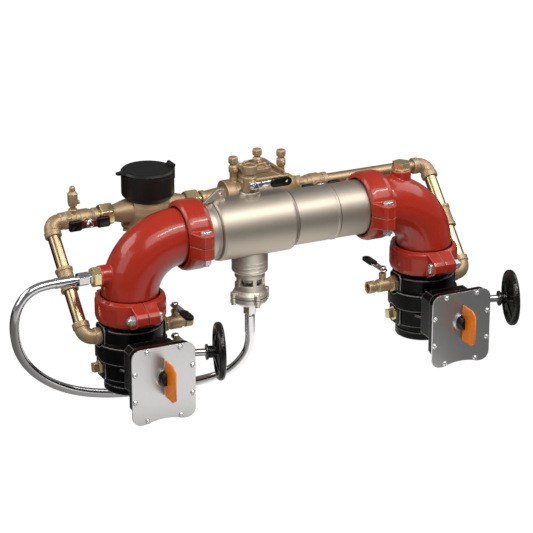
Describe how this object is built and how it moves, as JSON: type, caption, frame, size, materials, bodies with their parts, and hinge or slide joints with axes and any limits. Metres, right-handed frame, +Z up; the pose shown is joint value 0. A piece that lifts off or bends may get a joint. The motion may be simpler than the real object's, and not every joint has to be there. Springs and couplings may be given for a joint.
{
  "type": "reduced pressure detector assembly",
  "caption": "Backflow preventer with grooved elbows, butterfly shutoff valves with gear operators, relief valve with sensing hose, and a metered bypass line",
  "frame": {"origin": "centre of the inlet valve's lower grooved end", "axes": "X from the inlet to the outlet along the spool, Y from the cover plates to the bypass, Z up"},
  "size_m": [1.0819, 0.462, 0.5039],
  "materials": {
    "red_paint": "gloss red epoxy paint on cast iron",
    "black_paint": "gloss black epoxy paint on cast iron",
    "stainless": "satin stainless steel",
    "satin_plate": "satin stainless steel sheet",
    "chrome": "bright plating",
    "steel": "bright steel",
    "bronze": "cast bronze, left as cast",
    "brass": "bright yellow brass",
    "orange_plastic": "orange moulded plastic",
    "black_plastic": "matte black moulded plastic",
    "rubber": "matte rubber"
  },
  "bodies": {
    "assembly": {"bushings_and_plugs": "brass", "bypass_elbows": "bronze", "bypass_fittings": "bronze", "bypass_pipes": "brass", "bypass_test_cocks": "bronze", "bypass_valve_bodies": "bronze", "check_seats_and_guides": "stainless", "check_spool": "stainless", "check_springs": "steel", "coupling_bolts": "chrome", "coupling_gaskets": "rubber", "cover_screws": "chrome", "hose_fittings": "chrome", "housing_bolts": "steel", "indicator_rings": "chrome", "inlet_cover_plate": "satin_plate", "inlet_elbow": "red_paint", "inlet_gear_housing": "black_paint", "inlet_spool_coupling": "red_paint", "inlet_valve_body": "black_paint", "inlet_valve_coupling": "red_paint", "meter_body": "bronze", "meter_bolts": "bronze", "meter_register": "black_plastic", "outlet_cover_plate": "satin_plate", "outlet_elbow": "red_paint", "outlet_gear_housing": "black_paint", "outlet_spool_coupling": "red_paint", "outlet_valve_body": "black_paint", "outlet_valve_coupling": "red_paint", "preventer_body": "bronze", "preventer_cover": "bronze", "relief_body": "stainless", "relief_bolts": "steel", "relief_collar": "stainless", "relief_cover": "stainless", "relief_diaphragm": "rubber", "relief_spring": "steel", "sensing_hose": "chrome", "spool_lug_and_port": "stainless", "test_cock_bodies": "bronze", "valve_seat_liners": "rubber"},
    "inlet_operator": {"inlet_worm_shaft": "steel", "inlet_handwheel": "black_paint"},
    "outlet_operator": {"outlet_worm_shaft": "steel", "outlet_handwheel": "black_paint"},
    "inlet_disc": {"inlet_valve_disc": "steel", "inlet_position_flag": "orange_plastic"},
    "outlet_disc": {"outlet_valve_disc": "steel", "outlet_position_flag": "orange_plastic"},
    "spool_cock": {"spool_cock_lever": "steel"},
    "inlet_upper_cock": {"inlet_upper_cock_lever": "steel"},
    "inlet_lower_cock": {"inlet_lower_cock_lever": "steel"},
    "outlet_cock": {"outlet_cock_lever": "steel"},
    "upstream_handle": {"upstream_bypass_handle": "black_plastic"},
    "downstream_handle": {"downstream_bypass_handle": "black_plastic"},
    "lid": {"register_lid": "black_plastic"},
    "first_check": {"first_check_disc": "stainless"},
    "second_check": {"second_check_disc": "stainless"},
    "relief_piston": {"relief_stem": "stainless"}
  },
  "joints": [
    {"name": "inlet_handwheel_turn", "type": "hinge", "parent": "assembly", "child": "inlet_operator", "pos_m": [0, -0.115, 0.109], "axis": [0.9563, -0.2924, 0], "range_deg": [0, 2700]},
    {"name": "inlet_disc_turn", "type": "hinge", "parent": "assembly", "child": "inlet_disc", "pos_m": [0, 0, 0.082], "axis": [0, 1, 0], "range_deg": [0, 90]},
    {"name": "outlet_handwheel_turn", "type": "hinge", "parent": "assembly", "child": "outlet_operator", "pos_m": [0.676, -0.115, 0.109], "axis": [0.9563, -0.2924, 0], "range_deg": [0, 2700]},
    {"name": "outlet_disc_turn", "type": "hinge", "parent": "assembly", "child": "outlet_disc", "pos_m": [0.676, 0, 0.082], "axis": [0, 1, 0], "range_deg": [0, 90]},
    {"name": "spool_cock_turn", "type": "hinge", "parent": "assembly", "child": "spool_cock", "pos_m": [0.267, 0, 0.398], "axis": [0, -1, 0], "range_deg": [0, 90]},
    {"name": "inlet_upper_cock_turn", "type": "hinge", "parent": "assembly", "child": "inlet_upper_cock", "pos_m": [0.098, 0, 0.121], "axis": [0, 0, 1], "range_deg": [0, 90]},
    {"name": "inlet_lower_cock_turn", "type": "hinge", "parent": "assembly", "child": "inlet_lower_cock", "pos_m": [0.098, 0, 0.053], "axis": [0, 0, 1], "range_deg": [0, 90]},
    {"name": "outlet_cock_turn", "type": "hinge", "parent": "assembly", "child": "outlet_cock", "pos_m": [0.578, 0, 0.121], "axis": [0, 0, 1], "range_deg": [0, 90]},
    {"name": "upstream_handle_turn", "type": "hinge", "parent": "assembly", "child": "upstream_handle", "pos_m": [-0.029, 0.18, 0.3086], "axis": [0, -1, 0], "range_deg": [0, 90]},
    {"name": "downstream_handle_turn", "type": "hinge", "parent": "assembly", "child": "downstream_handle", "pos_m": [0.501, 0.18, 0.3086], "axis": [0, -1, 0], "range_deg": [0, 90]},
    {"name": "lid_hinge", "type": "hinge", "parent": "assembly", "child": "lid", "pos_m": [0.172, 0.18, 0.397], "axis": [0, 1, 0], "range_deg": [0, 110]},
    {"name": "first_check_slide", "type": "slide", "parent": "assembly", "child": "first_check", "axis": [1, 0, 0], "range_m": [0, 0.012], "stiffness_N_per_m": 2500, "springref_m": -0.02, "deforming": ["check_springs"]},
    {"name": "second_check_slide", "type": "slide", "parent": "assembly", "child": "second_check", "axis": [1, 0, 0], "range_m": [0, 0.012], "stiffness_N_per_m": 2500, "springref_m": -0.02, "deforming": ["check_springs"]},
    {"name": "relief_slide", "type": "slide", "parent": "assembly", "child": "relief_piston", "axis": [0, 0, -1], "range_m": [0, 0.006], "stiffness_N_per_m": 800, "springref_m": -0.01, "deforming": ["relief_spring"]}
  ],
  "couplings": [
    {"joint": "inlet_disc_turn", "follows": "inlet_handwheel_turn", "ratio": 0.033333},
    {"joint": "outlet_disc_turn", "follows": "outlet_handwheel_turn", "ratio": 0.033333}
  ]
}
